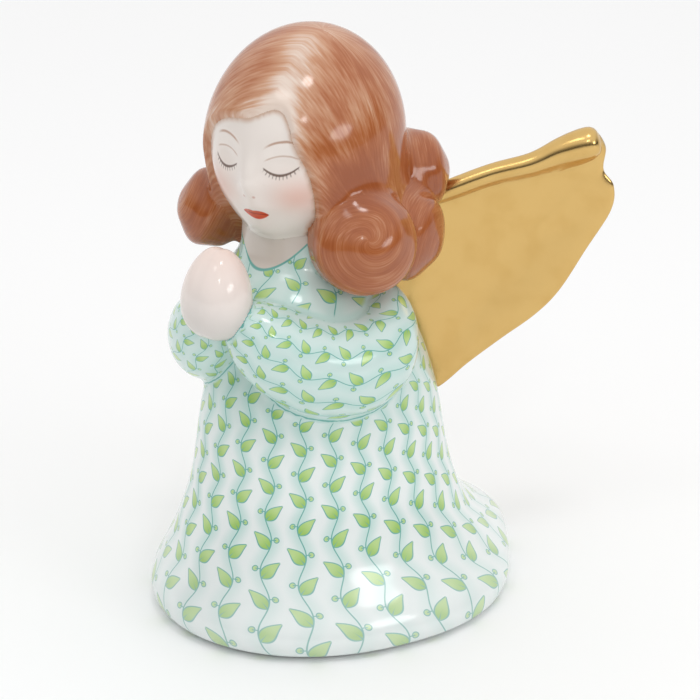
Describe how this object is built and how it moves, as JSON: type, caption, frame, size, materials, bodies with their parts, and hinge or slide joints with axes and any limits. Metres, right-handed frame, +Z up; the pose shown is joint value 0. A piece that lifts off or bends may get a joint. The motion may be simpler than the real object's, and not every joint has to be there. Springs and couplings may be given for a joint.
{
  "type": "porcelain praying angel figurine",
  "caption": "Small glazed porcelain figurine of a praying angel in a bell-shaped gown with a short train, rolled curls and gilt wings, free-standing on its flat underside.",
  "frame": {"origin": "on the flat underside, below the axis of the gown's neck", "axes": "+Z up; the figure faces -Y and its left side is +X"},
  "size_m": [0.046, 0.0487, 0.067],
  "materials": {
    "glazed_porcelain": "clear gloss glaze over white porcelain, hand-painted, with burnished gold wings"
  },
  "bodies": {
    "root": {"angel_figurine": "glazed_porcelain"}
  },
  "joints": []
}
